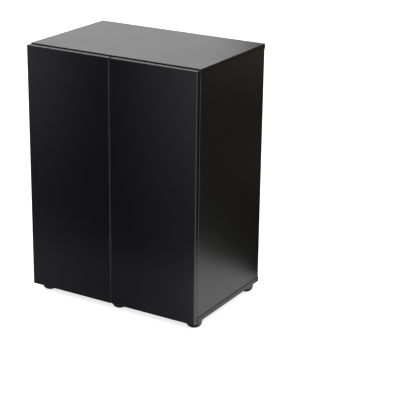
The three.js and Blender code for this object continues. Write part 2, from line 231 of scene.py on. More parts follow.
def fillet(points, radius, steps=5):
    """The outline with every corner rounded, by at most radius."""
    most = 0.48  # share of a side that the rounding of one corner may use up
    out = []
    count = len(points)
    for i, corner in enumerate(points):
        here = Vector(corner)
        before, after = Vector(points[i - 1]) - here, Vector(points[(i + 1) % count]) - here
        half = before.angle(after) / 2
        reach = min(radius / math.tan(half), before.length * most, after.length * most)
        start, end = here + before.normalized() * reach, here + after.normalized() * reach
        for t in arc_steps(0, 1, steps):
            out.append(tuple((1 - t) ** 2 * start + 2 * t * (1 - t) * here + t * t * end))
    return out


def prism(name, outline, low, high, to_world, *materials):
    """An outline of (a, b) points extruded from low to high; to_world maps (a, b, c) to x, y, z in mm."""
    bm = bmesh.new()
    bottom = [bm.verts.new(to_world(a, b, low)) for a, b in outline]
    top = [bm.verts.new(to_world(a, b, high)) for a, b in outline]
    bm.faces.new(bottom)
    bm.faces.new(top)
    for i in range(len(outline)):
        j = (i + 1) % len(outline)
        bm.faces.new((bottom[i], bottom[j], top[j], top[i]))
    return from_bmesh(name, bm, *materials)


def block(name, low, high):
    outline = [(low[0], low[1]), (high[0], low[1]), (high[0], high[1]), (low[0], high[1])]
    return prism(name, outline, low[2], high[2], lambda a, b, c: (a, b, c))


def block_around(name, centre, half):
    return block(name, [c - h for c, h in zip(centre, half)], [c + h for c, h in zip(centre, half)])


def axis_index(axis):
    return "xyz".index(axis)


def settle(obj, body, slot, *nodes):
    """The piece rides on its body and stands for its CAD nodes. Its slot argument is not used."""
    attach(obj, body)
    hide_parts(*nodes)
    return obj


# ---------------------------------------------------------------- materials
def new_material(name):
    material = bpy.data.materials.new(name)
    material.use_nodes = True
    nodes, links = material.node_tree.nodes, material.node_tree.links
    return material, nodes, links, nodes["Principled BSDF"]


def noise(nodes, links, coordinates, scale, detail=2.0, roughness=0.5):
    node = nodes.new("ShaderNodeTexNoise")
    node.inputs["Scale"].default_value = scale
    node.inputs["Detail"].default_value = detail
    node.inputs["Roughness"].default_value = roughness
    links.new(coordinates, node.inputs["Vector"])
    return node.outputs["Fac"]


def spread(nodes, links, value, low, high):
    """Stretches the middle of a noise's range over low to high."""
    node = nodes.new("ShaderNodeMapRange")
    node.inputs["From Min"].default_value = 0.3
    node.inputs["From Max"].default_value = 0.7
    node.inputs["To Min"].default_value = low
    node.inputs["To Max"].default_value = high
    links.new(value, node.inputs["Value"])
    return node.outputs["Result"]


def two_tones(nodes, links, value, dark, light):
    node = nodes.new("ShaderNodeMix")
    node.data_type = "RGBA"
    node.inputs["A"].default_value = (*dark, 1)
    node.inputs["B"].default_value = (*light, 1)
    links.new(value, node.inputs["Factor"])
    return node.outputs["Result"]


def bump(nodes, links, value, distance, normal=None):
    node = nodes.new("ShaderNodeBump")
    node.inputs["Distance"].default_value = distance
    node.inputs["Strength"].default_value = 0.5
    links.new(value, node.inputs["Height"])
    if normal is not None:
        links.new(normal, node.inputs["Normal"])
    return node.outputs["Normal"]


def textured(name, dark, light, rough, grain, depth, metallic=0.0, broad=7.0, mottle=230, ior=1.5):
    """A finish with broad, faint changes of gloss, a mottled tone, and a fine grain in its relief.
    rough is the range of its roughness. grain, broad and mottle are in features per metre, and depth is
    in metres."""
    patch_share, speck_share = 0.7, 0.3
    material, nodes, links, shader = new_material(name)
    place = nodes.new("ShaderNodeTexCoord").outputs["Object"]
    cloud = noise(nodes, links, place, broad, 3.0)
    speck = noise(nodes, links, place, grain, 2.0, 0.6)
    cells = nodes.new("ShaderNodeTexVoronoi")
    cells.feature = "SMOOTH_F1"
    cells.inputs["Scale"].default_value = grain * 0.7
    links.new(place, cells.inputs["Vector"])
    patch = noise(nodes, links, place, mottle, 1.0)
    tone = nodes.new("ShaderNodeMath")
    tone.operation = "MULTIPLY_ADD"
    links.new(speck, tone.inputs[0])
    tone.inputs[1].default_value = speck_share
    links.new(spread(nodes, links, patch, 0.0, patch_share), tone.inputs[2])
    links.new(two_tones(nodes, links, tone.outputs[0], dark, light), shader.inputs["Base Color"])
    links.new(spread(nodes, links, cloud, *rough), shader.inputs["Roughness"])
    relief = bump(nodes, links, speck, depth)
    relief = bump(nodes, links, cells.outputs["Distance"], depth, relief)
    links.new(relief, shader.inputs["Normal"])
    shader.inputs["Metallic"].default_value = metallic
    shader.inputs["IOR"].default_value = ior
    return material


MELAMINE = {"grain": 1300, "depth": 1.6e-5}
BANDING = {"grain": 1800, "depth": 1.2e-5}
FACE = textured("black_melamine", (0.0014, 0.0013, 0.0011), (0.0040, 0.0038, 0.0034), (0.32, 0.34),
                **MELAMINE)
INNER_FACE = textured("inner_melamine", (0.0135, 0.0133, 0.0130), (0.0190, 0.0187, 0.0183), (0.32, 0.34),
                      **MELAMINE)
DOOR_FACE = textured("door_melamine", (0.0008, 0.0008, 0.0012), (0.0034, 0.0034, 0.0043), (0.28, 0.30),
                     mottle=200, **MELAMINE)
BOARD_EDGE = textured("board_edge", (0.0012, 0.0012, 0.0012), (0.0030, 0.0030, 0.0030), (0.34, 0.38),
                      ior=1.41, **BANDING)
DOOR_EDGE = textured("door_edge", (0.0010, 0.0010, 0.0011), (0.0026, 0.0026, 0.0028), (0.30, 0.33),
                     ior=1.40, **BANDING)
# The doors' rounded edges are painted a paler grey than their banding. This is a painted highlight that
# keeps the lines along the door edges light from top to bottom.
DOOR_ROUNDING_PAINTED_HIGHLIGHT = textured("door_rounding_painted_highlight", (0.019, 0.019, 0.0195), (0.025, 0.025, 0.0255), (0.30, 0.33),
                         **BANDING)
RAW = textured("board_core", (0.010, 0.009, 0.008), (0.030, 0.027, 0.024), (0.75, 0.9),
               grain=700, depth=2.0e-4, broad=60)
FOOT = textured("foot_plastic", (0.0150, 0.0150, 0.0153), (0.0210, 0.0210, 0.0213), (0.34, 0.38),
                grain=2200, depth=2.0e-5, broad=30)
LATCH = textured("latch_plastic", (0.018, 0.018, 0.019), (0.028, 0.028, 0.030), (0.42, 0.48),
                 grain=2600, depth=1.5e-5, broad=40)
ZINC = textured("cam_zinc", (0.11, 0.11, 0.115), (0.20, 0.20, 0.205), (0.38, 0.50),
                grain=2400, depth=3.0e-5, metallic=1.0, broad=90)
BLACK_ZINC = textured("dark_screw", (0.035, 0.035, 0.037), (0.07, 0.07, 0.072), (0.30, 0.42),
                      grain=3000, depth=1.0e-5, metallic=1.0, broad=90)
# Metallic is held at 0.72 so that the pale base colour adds a diffuse grey. This is a painted reflection
# that keeps the nickel parts bright when little is reflected in them.
NICKEL = textured("nickel", (0.70, 0.69, 0.67), (0.76, 0.75, 0.73), (0.22, 0.26),
                  grain=3200, depth=0.4e-5, metallic=0.72, broad=60)

# ---------------------------------------------------------------- boards
# A board's material slots. The slot between the banding and its rounding holds the raw core, which the
# cutters of holes and pockets bring with them.
FACE_SLOT, BAND_SLOT, ROUNDING_SLOT, INNER_SLOT = 0, 1, 3, 4
SEAM_STRIPS = 3  # strips of the edge between a board's face and the start of its rounding
ROUNDING_STEPS = 5


def rectangle_ring(low, high, inset, height):
    """A rectangle with rounded corners, drawn inset from low and high, at one height."""
    radius = max(CORNER_RADIUS - inset, 0.05)
    points = []
    corners = ((1, 1), (-1, 1), (-1, -1), (1, -1))  # anticlockwise, from the high corner
    for quarter, (sx, sy) in enumerate(corners):
        cx = (high[0] if sx > 0 else low[0]) - sx * (inset + radius)
        cy = (high[1] if sy > 0 else low[1]) - sy * (inset + radius)
        for angle in arc_steps(math.pi / 2 * quarter, math.pi / 2 * (quarter + 1), 4):
            points.append((cx + radius * math.cos(angle), cy + radius * math.sin(angle), height))
    return points


def edge_profile(half, radius):
    """(inset, height) from the middle of a face, over the seam and the rounded edge, to the other face."""
    band = radius + 2 * SEAM_HALF
    seam = [(band + SEAM_HALF, half), (band, half - SEAM_DEPTH), (band - SEAM_HALF, half)]
    rounding = [(radius * (1 - math.sin(a)), half - radius * (1 - math.cos(a)))
                for a in arc_steps(0, math.pi / 2, ROUNDING_STEPS)]
    upper = seam + rounding
    return upper + [(inset, -height) for inset, height in reversed(upper)]


def strip_slot(level, last):
    """The material slot of a strip of the edge: the face's, the banding's or its rounding's."""
    from_face = min(level, last - level)
    if from_face == 0:
        return FACE_SLOT
    return ROUNDING_SLOT if SEAM_STRIPS <= from_face < SEAM_STRIPS + ROUNDING_STEPS else BAND_SLOT


def line_inside(obj, inward):
    """Gives the face that looks into the cabinet its own, paler melamine."""
    obj.data.materials.append(INNER_FACE)
    for polygon in obj.data.polygons:
        if polygon.material_index == FACE_SLOT and polygon.normal.dot(Vector(inward)) > 0.99:
            polygon.material_index = INNER_SLOT
    return obj


def board(name, node, face, inward=(0, 0, 0), cutters=(), edge=BOARD_EDGE, rounding=BOARD_EDGE,
          radius=EDGE_RADIUS):
    """A melamine board with banded edges: the seam of the banding runs round both faces. inward is the
    way that its inner face looks, if one of its faces is an inner one."""
    low, high = box_mm(node)
    sizes = [h - l for l, h in zip(low, high)]
    thin = sizes.index(min(sizes))
    flat = [axis for axis in range(3) if axis != thin]
    middle = (low[thin] + high[thin]) / 2
    corner_low, corner_high = [low[a] for a in flat], [high[a] for a in flat]
    bm = bmesh.new()
    rings = []
    for inset, height in edge_profile(sizes[thin] / 2, radius):
        ring = []
        for a, b, c in rectangle_ring(corner_low, corner_high, inset, height):
            place = [0.0, 0.0, 0.0]
            place[flat[0]], place[flat[1]], place[thin] = a, b, middle + c
            ring.append(bm.verts.new(place))
        rings.append(ring)
    bm.faces.new(rings[0])
    bm.faces.new(rings[-1])
    count = len(rings[0])
    last = len(rings) - 2
    for level, (upper, lower) in enumerate(zip(rings, rings[1:])):
        for i in range(count):
            j = (i + 1) % count
            quad = bm.faces.new((upper[i], upper[j], lower[j], lower[i]))
            quad.material_index = strip_slot(level, last)
    obj = from_bmesh(name, bm, face, edge, RAW, rounding)
    combine(obj, cutters, "DIFFERENCE")
    return smooth(line_inside(obj, inward))


def drill(axis, place, direction, radius, depth, chamfer=0.3):
    """A cutter for a hole with a slightly broken rim; heights run into the board."""
    above = 2.0  # how far the cutter starts in front of the board
    mouth = radius + chamfer + above
    profile = [(0, -above), (mouth, -above), (radius, chamfer), (radius, depth), (0, depth)]
    return turned("cutter", profile, axis, place, direction, MEDIUM, RAW)


def cam_names(side):
    return [f"cam_lock_{side}_{row}_{level}" for level in ("top", "bottom") for row in ("front", "rear")]


def cam_pockets(names, axis, face, direction):
    cutters = []
    for name in names:
        place = centre_of(name)
        place[axis_index(axis)] = face
        cutters.append(drill(axis, place, direction, CAM_RADIUS + 0.25, CAM_POCKET))
    return cutters


def pin_holes(wall):
    face, into = PIN_WALLS[wall]
    cutters = []
    for row in ("front", "rear"):
        _, y, z = centre_of(f"shelf_pin_{row}_{wall}")
        cutters.append(drill("x", (face, y, z), into, PEG_RADIUS + 0.2, PEG_HOLE))
    return cutters


def foot_screw_holes():
    """Cutters through the bottom board, countersunk from above."""
    bore, sink = FOOT_BORE_RADIUS, 6.2
    profile = [(0, FLOOR_UNDER - 1), (bore, FLOOR_UNDER - 1), (bore, FLOOR_TOP - 3.3),
               (sink, FLOOR_TOP + 0.1), (sink, FLOOR_TOP + 1), (0, FLOOR_TOP + 1)]
    cutters = []
    for foot in FEET:
        x, y, _ = centre_of(f"foot_screw_{foot}")
        cutters.append(turned("cutter", profile, "z", (x, y, 0), 1, MEDIUM, RAW))
    return cutters


def cable_hole_cutter():
    x = (BAY_LEFT + SIDE_INNER) / 2
    z = box_mm("shelf")[1][2] - SHELF_TO_HOLE
    thickness = BACK_BOARD_REAR - BACK_BOARD_FRONT
    r, flare, rim = CABLE_HOLE_RADIUS, 2.0, 0.4
    profile = [(0, -flare), (r + flare + rim, -flare), (r, rim), (r, thickness - rim),
               (r + flare + rim, thickness + flare), (0, thickness + flare)]
    return turned("cutter", profile, "y", (x, BACK_BOARD_FRONT, z), 1, HUGE, RAW)


def settle_board(obj, node, body="carcass"):
    settle(obj, body, "black_melamine", node)


def build_boards():
    settle_board(board("top_board", "top_panel", FACE, (0, 0, -1)), "top_panel")
    bottom = board("bottom_board", "bottom_panel", FACE, (0, 0, 1), foot_screw_holes())
    settle_board(bottom, "bottom_panel")
    for side, sign in SIDES:
        node = f"{side}_side_panel"
        cutters = cam_pockets(cam_names(side), "x", sign * SIDE_INNER, sign)
        if side == "right":
            cutters += pin_holes("right")
        settle_board(board(f"{side}_side_board", node, FACE, (-sign, 0, 0), cutters), node)
    divider = board("divider_board", "center_divider", INNER_FACE, cutters=pin_holes("left"))
    settle_board(divider, "center_divider")
    cutters = [*cam_pockets(BACK_CAMS, "y", BACK_BOARD_FRONT, 1), cable_hole_cutter()]
    settle_board(board("back_board", "back_panel", FACE, (0, -1, 0), cutters), "back_panel")
    settle_board(board("shelf_board", "shelf", INNER_FACE), "shelf", "shelf")


def build_doors():
    for side, _ in SIDES:
        cutters = []
        for level in LEVELS:
            x, _, z = centre_of(f"{level}_{side}_hinge_cup")
            cutters.append(drill("y", (x, DOOR_BACK, z), -1, CUP_RADIUS + 0.3, CUP_BORE_DEPTH, 0.2))
        obj = board(f"{side}_door_board", f"{side}_door", DOOR_FACE, (0, 1, 0), cutters,
                    DOOR_EDGE, DOOR_ROUNDING_PAINTED_HIGHLIGHT, DOOR_EDGE_RADIUS)
        settle(obj, f"{side}_door", "door_melamine", f"{side}_door")


# ---------------------------------------------------------------- fasteners and feet
def cross_recess(place, axis, span, depth):
    """Two crossed bars that cut a screwdriver recess into a head whose face is at place."""
    across = [a for a in range(3) if a != axis_index(axis)]
    bars = []
    for long, short in (across, across[::-1]):
        half = [depth] * 3
        half[long] = span
        half[short] = span * BAR_RATIO
        bars.append(block_around("bar", place, half))
    return bars


def screw_head(name, place, axis, direction, radius, height, material):
    """A pan head that stands on a face at place, with a cross recess."""
    wall = 0.45  # share of the height that is straight
    profile = [(0, 0), (radius, 0), (radius, height * wall)]
    for angle in arc_steps(0, math.pi / 2, 5)[1:]:
        crown = height * (wall + (1 - wall) * math.sin(angle))
        profile.append((radius * math.cos(angle * 0.72), crown))
    profile.append((0, height * 1.02))
    head = turned(name, profile, axis, place, direction, SMALL, material)
    top = list(place)
    top[axis_index(axis)] += direction * height
    combine(head, cross_recess(top, axis, radius * 0.6, height * 0.6), "DIFFERENCE")
    return smooth(head)


def foot_profile(radius, top):
    """A flat glide, a rounded flank, a wall with a moulded groove, and the screw's hole."""
    base, bore, floor = FOOT_BASE_RADIUS, FOOT_BORE_RADIUS, top - FOOT_BORE_DEPTH
    rise = top - FOOT_WALL
    glide = [(0, 0.5), (base - 3.5, 0.5), (base - 3.0, 0.0), (base - 0.6, 0.0)]
    flank = [(base + (radius - base) * math.sin(a), rise * (1 - math.cos(a)))
             for a in arc_steps(0.06, math.pi / 2, 14)]
    inset = radius - 0.35
    groove = [(radius, top - 2.6), (inset, top - 2.4), (inset, top - 2.0), (radius, top - 1.8)]
    rim = [(radius, top - 0.5), (radius - 0.5, top)]
    return [*glide, *flank, *groove, *rim, (bore, top), (bore, floor), (0, floor)]


def build_foot(foot):
    x, y, _ = centre_of(f"foot_{foot}")
    low, high = box_mm(f"foot_{foot}")
    profile = foot_profile((high[0] - low[0]) / 2, high[2])
    obj = smooth(turned(f"foot_glide_{foot}", profile, "z", (x, y, 0), 1, FINE, FOOT), 25)
    settle(obj, "carcass", "foot_plastic", f"foot_{foot}")


def build_foot_screw(foot):
    """A countersunk screw with a hexagon socket, its head just below the board's face."""
    x, y, _ = centre_of(f"foot_{foot}")
    head = FLOOR_TOP - 0.05
    tip = box_mm(f"foot_screw_{foot}")[0][2]
    shank, sink = BOLT_RADIUS, BOLT_HEAD_RADIUS
    profile = [(0, tip), (shank - 1, tip), (shank, tip + 2), (shank, head - 3), (sink, head - 0.3),
               (sink, head), (0, head)]
    screw = turned(f"foot_bolt_{foot}", profile, "z", (x, y, 0), 1, SMALL * 2, BLACK_ZINC)
    socket = turned("cutter", rod(2.1, head - 2, head + 1), "z", (x, y, 0), 1, HEXAGON)
    smooth(combine(screw, [socket], "DIFFERENCE"))
    settle(screw, "carcass", "dark_screw", f"foot_screw_{foot}")


def build_feet():
    for foot in FEET:
        build_foot(foot)
        build_foot_screw(foot)


def build_cam(node, axis, face, direction):
    """A cam disc in its pocket: rounded rim, cross recess and a small pointer notch."""
    place = centre_of(node)
    place[axis_index(axis)] = face
    name = node.replace("cam_lock", "cam_disc")
    cam = turned(name, rounded_rod(CAM_RADIUS, 0.1, CAM_LENGTH, 0.5), axis, place, direction, MEDIUM, ZINC)
    half = [0.6, 0.6, 0.6]
    half[axis_index(axis)] = 0.8
    notch = block_around("notch", (place[0], place[1], place[2] + NOTCH_UP), half)
    combine(cam, [*cross_recess(place, axis, 4.6, 2.2), notch], "DIFFERENCE")
    settle(smooth(cam), "carcass", "cam_zinc", node)


def build_cams():
    for side, sign in SIDES:
        for node in cam_names(side):
            build_cam(node, "x", sign * SIDE_INNER, sign)
    for node in BACK_CAMS:
        build_cam(node, "y", BACK_BOARD_FRONT, 1)


def build_shelf_pins():
    """Pins with a thicker end under the shelf and a thinner one in the wall."""
    peg, wide = PEG_RADIUS, 3.0
    profile = [(0, -8.4), (peg, -8.4), (wide - 0.2, -8.2), (wide, -7.8), (wide, -0.3), (wide - 0.2, -0.05),
               (peg, -0.05), (peg, 8.6), (peg - 0.4, 9.0), (0, 9.0)]
    for wall, (face, into) in PIN_WALLS.items():
        for row in ("front", "rear"):
            node = f"shelf_pin_{row}_{wall}"
            _, y, z = centre_of(node)
            pin = turned(f"{node}_peg", profile, "x", (face, y, z), into, SMALL, NICKEL)
            settle(smooth(pin), "carcass", "nickel", node)


# ---------------------------------------------------------------- concealed hinges
# Outlines in (inward, back): inward from the side board's inner face, back from the carcass front.
LINK_PIVOT = (15.0, 0.75)
LINK_KNEE = (5.5, -10.0)
LINK_TIP = (-8.9, -10.2)
ARM_OUTLINE = [(3.5, 62), (10, 62), (11.5, 60), (11.5, 24), (19, 12), (19.5, 3), (17.6, -2.4),
               (14.6, -3.2), (11.2, -1.6), (9.5, 4), (3.5, 14)]
ARM_HOLLOW = [(2, 64), (10, 64), (10, 23.5), (17.6, 11.4), (17.6, -6), (2, -6)]
ARM_HALF = 7.0
ARM_WALL = 1.4
# Outlines in (back, up): up from the hinge's centre height.
PLATE_CROSS = [(18, -8), (30, -8), (30, -31), (44, -31), (44, -8), (62, -8), (62, 8), (44, 8), (44, 31),
               (30, 31), (30, 8), (18, 8)]
PLATE_RAIL = [(22, -5), (58, -5), (58, 5), (22, 5)]
ARM_SLOT = [(43, -2.2), (59, -2.2), (59, 2.2), (43, 2.2)]
LINK_HALF = 1.3
LINK_STRIPS = ((-4.9, -2.9), (-1.9, 1.9), (2.9, 4.9))  # the heights that each strip of a link spans


def hinge_space(sign, z):
    """Maps (inward, back, up) to the world, for outlines seen from above."""
    return lambda inward, back, up: (sign * (SIDE_INNER - inward), FRONT + back, z + up)


def wall_space(sign, z):
    """Maps (back, up, inward) to the world, for outlines seen on the side board."""
    return lambda back, up, inward: (sign * (SIDE_INNER - inward), FRONT + back, z + up)


def build_plate(prefix, sign, z):
    """Mounting plate: a cross with rounded ends, a raised rail, and two screws in its wings."""
    on_wall = wall_space(sign, z)
    base = prism(f"{prefix}_plate_body", fillet(PLATE_CROSS, 4.0), 0.05, 2.0, on_wall, NICKEL)
    rail = prism("rail", fillet(PLATE_RAIL, 1.5), 1.0, 9.0, on_wall, NICKEL)
    combine(base, [rail], "UNION")
    smooth(round_edges(base, 0.35))
    screws = [screw_head("plate_screw", on_wall(37, up, 2.0), "x", -sign, 3.6, 1.9, NICKEL)
              for up in (-PLATE_SCREW_REACH, PLATE_SCREW_REACH)]
    settle(merge(f"{prefix}_plate_with_screws", [base, *screws]), "carcass", "nickel", f"{prefix}_plate")


def build_arm(prefix, sign, z):
    """Arm: a pressed channel with a cranked nose, a slot with the depth screw and an adjusting screw."""
    space = hinge_space(sign, z)
    arm = prism(f"{prefix}_arm_channel", fillet(ARM_OUTLINE, 1.6, 4), -ARM_HALF, ARM_HALF, space, NICKEL)
    hollow = prism("hollow", ARM_HOLLOW, ARM_WALL - ARM_HALF, ARM_HALF - ARM_WALL, space, NICKEL)
    slot = prism("slot", fillet(ARM_SLOT, 2.1, 6), 9.2, 13.0, wall_space(sign, z), NICKEL)
    combine(arm, [hollow, slot], "DIFFERENCE")
    smooth(round_edges(arm, 0.28))
    x, y, _ = space(*LINK_PIVOT, 0)
    pin_profile = rounded_rod(1.15, 0.35 - ARM_HALF, ARM_HALF - 0.35, 0.15)
    rivet_profile = [(0, -0.2), (2.2, -0.2), (2.0, 0.35), (1.2, 0.6), (0, 0.65)]
    pin = turned("pin", pin_profile, "z", (x, y, z), 1, SMALL, NICKEL)
    rivets = [turned("rivet", rivet_profile, "z", (x, y, z + way * ARM_HALF), way, SMALL, NICKEL)
              for way in (-1, 1)]
    depth_screw = screw_head("depth_screw", space(11.5, 51, 0), "x", -sign, 4.2, 1.8, NICKEL)
    side_screw = screw_head("side_screw", space(11.4, 31, 0), "x", -sign, 2.9, 1.2, NICKEL)
    smoothed = [smooth(piece) for piece in (pin, *rivets)]
    parts = [arm, *smoothed, depth_screw, side_screw]
    settle(merge(f"{prefix}_arm_with_screws", parts), "carcass", "nickel", f"{prefix}_arm")


def link_outline():
    """A strip of even thickness, bent from the arm's pivot through the knee to the tip in the cup."""
    start, knee, tip = (Vector(p) for p in (LINK_PIVOT, LINK_KNEE, LINK_TIP))
    control = 2 * knee - 0.5 * start - 0.5 * tip
    outer, inner = [], []
    for t in arc_steps(0, 1, 18):
        point = (1 - t) ** 2 * start + 2 * t * (1 - t) * control + t * t * tip
        along = (2 * (1 - t) * (control - start) + 2 * t * (tip - control)).normalized()
        across = Vector((-along.y, along.x)) * LINK_HALF
        outer.append(tuple(point + across))
        inner.append(tuple(point - across))
    return outer + inner[::-1]


def build_link(prefix, side, sign, z):
    """Link: two side strips and a wider middle one, with a rolled eye round the arm's pin."""
    space = hinge_space(sign, z)
    outline = link_outline()
    strips = [prism("strip", outline, low, high, space, NICKEL) for low, high in LINK_STRIPS]
    pieces = [smooth(round_edges(strip, 0.25)) for strip in strips]
    eye_profile = [(1.3, -5), (2.1, -5), (2.3, -4.8), (2.3, 4.8), (2.1, 5), (1.3, 5), (1.3, -5)]
    eye = turned("eye", eye_profile, "z", space(*LINK_PIVOT, 0), 1, SMALL, NICKEL)
    roll = turned("roll", rounded_rod(1.5, -4.9, 4.9, 0.2), "z", space(*LINK_TIP, 0), 1, SMALL, NICKEL)
    pieces += [smooth(eye), smooth(roll)]
    settle(merge(f"{prefix}_link_strips", pieces), f"{side}_hinge_links", "nickel", f"{prefix}_link")


def flange_outline():
    """The cup's flange seen from the cabinet: a round rim with an ear above and below."""
    rim, ear = CUP_RADIUS + 1.5, EAR_RADIUS
    meet = math.acos(ear / rim)
    points = []
    for way, rim_start, ear_start in ((1, -meet, 0), (-1, math.pi - meet, math.pi)):
        points += [(rim * math.cos(a), rim * math.sin(a))
                   for a in arc_steps(rim_start, rim_start + 2 * meet, 20)]
        points += [(ear * math.cos(a), way * EAR_REACH + ear * math.sin(a))
                   for a in arc_steps(ear_start, ear_start + math.pi, 12)]
    return points


def build_cup(prefix, side, z, x):
    """Cup: a pressed bowl with a lipped flange and a countersunk screw in each ear."""
    place = (x, DOOR_BACK, z)
    r, inner, depth = CUP_RADIUS, CUP_RADIUS - 1, CUP_DEPTH
    flange = prism(f"{prefix}_cup_flange", flange_outline(), 0.05, 1.2,
                   lambda a, b, c: (x + a, DOOR_BACK + c, z + b), NICKEL)
    bowl_profile = [(0, -0.8), (r, -0.8), (r, depth - 0.9), (r - 0.9, depth), (0, depth)]
    hollow_profile = [(0, -4), (r - 0.6, -4), (r - 0.6, -0.9), (inner, -0.4), (inner, depth - 1.8),
                      (inner - 0.8, depth - 1), (0, depth - 1)]
    combine(flange, [turned("bowl", bowl_profile, "y", place, -1, FINE, NICKEL)], "UNION")
    combine(flange, [turned("hollow", hollow_profile, "y", place, -1, FINE, NICKEL)], "DIFFERENCE")
    smooth(round_edges(flange, 0.2))
    screws = [screw_head("cup_screw", (x, DOOR_BACK + 1.15, z + up), "y", 1, 3.3, 0.6, NICKEL)
              for up in (-EAR_REACH, EAR_REACH)]
    settle(merge(f"{prefix}_cup_with_screws", [flange, *screws]), f"{side}_door", "nickel", f"{prefix}_cup")


def build_hinges():
    for side, sign in SIDES:
        for level in LEVELS:
            prefix = f"{level}_{side}_hinge"
            x, _, z = centre_of(f"{prefix}_cup")
            build_plate(prefix, sign, z)
            build_arm(prefix, sign, z)
            build_link(prefix, side, sign, z)
            build_cup(prefix, side, z, x)


# ---------------------------------------------------------------- push latches
def latch_outline(low, high):
    """Front outline of a latch: flat at the top, with its two lower corners rounded."""
    corner = LATCH_CORNER
    left = [(low[0] + corner + corner * math.cos(a), low[2] + corner + corner * math.sin(a))
            for a in arc_steps(math.pi, math.pi * 1.5, 10)]
    right = [(high[0] - corner + corner * math.cos(a), low[2] + corner + corner * math.sin(a))
             for a in arc_steps(math.pi * 1.5, math.pi * 2, 10)]
    return [(low[0], high[2]), *left, *right, (high[0], high[2])]


def latch_seams(low, high):
    """Cutters for the moulding line on both flanks of a latch."""
    deep, front, rear = 0.4, low[1] + LATCH_SEAM, low[1] + LATCH_SEAM + 0.5
    bottom, top = low[2] - 1, high[2] - 3
    return [block("seam", (low[0] - 1, front, bottom), (low[0] + deep, rear, top)),
            block("seam", (high[0] - deep, front, bottom), (high[0] + 1, rear, top))]


def build_latch_case(side, x, z):
    """Case with its bore, moulding lines and screw wells, and a collar round the plunger."""
    low, high = box_mm(f"{side}_latch_housing")
    front = low[1]
    body = prism(f"{side}_latch_body", latch_outline(low, high), front, high[1],
                 lambda a, b, c: (a, c, b), LATCH)
    bore = turned("bore", rod(5.2, -2, 48), "y", (x, front - 2, z), 1, MEDIUM, LATCH)
    wells = [turned("well", rod(3.4, -1, 3.5), "z", (x, front + back, low[2]), 1, SMALL, LATCH)
             for back in LATCH_SCREWS]
    combine(body, [bore, *latch_seams(low, high), *wells], "DIFFERENCE")
    smooth(round_edges(body, 0.45))
    collar_profile = [(5.25, 0.2), (7.3, 0.2), (7.3, -0.6), (6.9, -1.0), (5.6, -1.0), (5.25, -0.6),
                      (5.25, 0.2)]
    collar = turned("collar", collar_profile, "y", (x, front, z), 1, MEDIUM, LATCH)
    screws = [screw_head("latch_screw", (x, front + back, low[2] + 3.4), "z", -1, 2.8, 1.4, BLACK_ZINC)
              for back in LATCH_SCREWS]
    case = merge(f"{side}_latch_case", [body, smooth(collar), *screws])
    settle(case, "carcass", "latch_plastic", f"{side}_latch_housing")


def build_plunger(side, x, z):
    """A plastic rod with a nickel nose."""
    tip = box_mm(f"{side}_latch_plunger")[0][1]
    wide = PLUNGER_RADIUS + 0.1
    shaft_profile = rounded_rod(PLUNGER_RADIUS, 3.0, 47.4, 0.4)
    nose_profile = [(0, 0), (3.2, 0), (4.2, 0.35), (PLUNGER_RADIUS, 1.2), (wide, 2.0), (wide, 2.8),
                    (4.5, 3.0), (0, 3.0)]
    shaft = turned("shaft", shaft_profile, "y", (x, tip, z), 1, MEDIUM, LATCH)
    nose = turned("nose", nose_profile, "y", (x, tip, z), 1, MEDIUM, NICKEL)
    plunger = merge(f"{side}_latch_push_rod", [smooth(shaft), smooth(nose)])
    settle(plunger, f"{side}_latch_plunger", "nickel", f"{side}_latch_plunger")


def build_strike(side, x, z):
    """A dished disc on the door's back, where the plunger meets it."""
    profile = [(0, 0.05), (8.0, 0.05), (8.0, 0.8), (7.5, 1.15), (3.2, 1.15), (2.2, 0.55), (0, 0.55)]
    disc = turned(f"{side}_strike_disc", profile, "y", (x, DOOR_BACK, z), 1, MEDIUM, NICKEL)
    settle(smooth(disc), f"{side}_door", "nickel", f"{side}_strike_plate")


def build_latches():
    for side, _ in SIDES:
        x = centre_of(f"{side}_latch_housing")[0]
        z = centre_of(f"{side}_latch_plunger")[2]
        build_latch_case(side, x, z)
        build_plunger(side, x, z)
        build_strike(side, x, z)


# ---------------------------------------------------------------- camera, in metres and degrees
CAMERA_AZIMUTH = 31.395
CAMERA_ELEVATION = 19.336
CAMERA_ROLL = 0.499
CAMERA_PLACE = (2.1983, -3.3967, 1.7659)
CAMERA_LENS = 120.74
CAMERA_SHIFT = (0.05, -0.025)


def build_camera():
    data = bpy.data.cameras.new("camera")
    data.sensor_width = 36
    data.lens = CAMERA_LENS
    data.shift_x, data.shift_y = CAMERA_SHIFT
    camera = bpy.data.objects.new("camera", data)
    bpy.context.scene.collection.objects.link(camera)
    azimuth, elevation, roll = (math.radians(a) for a in (CAMERA_AZIMUTH, CAMERA_ELEVATION, CAMERA_ROLL))
    reach = math.cos(elevation)
    back = Vector((math.sin(azimuth) * reach, -math.cos(azimuth) * reach, math.sin(elevation)))
    level = Vector((math.cos(azimuth), math.sin(azimuth), 0))
    rise = back.cross(level)
    right = level * math.cos(roll) + rise * math.sin(roll)
    up = rise * math.cos(roll) - level * math.sin(roll)
    turn = Matrix((right, up, back)).transposed().to_4x4()
    camera.matrix_world = Matrix.Translation(CAMERA_PLACE) @ turn
    bpy.context.scene.camera = camera


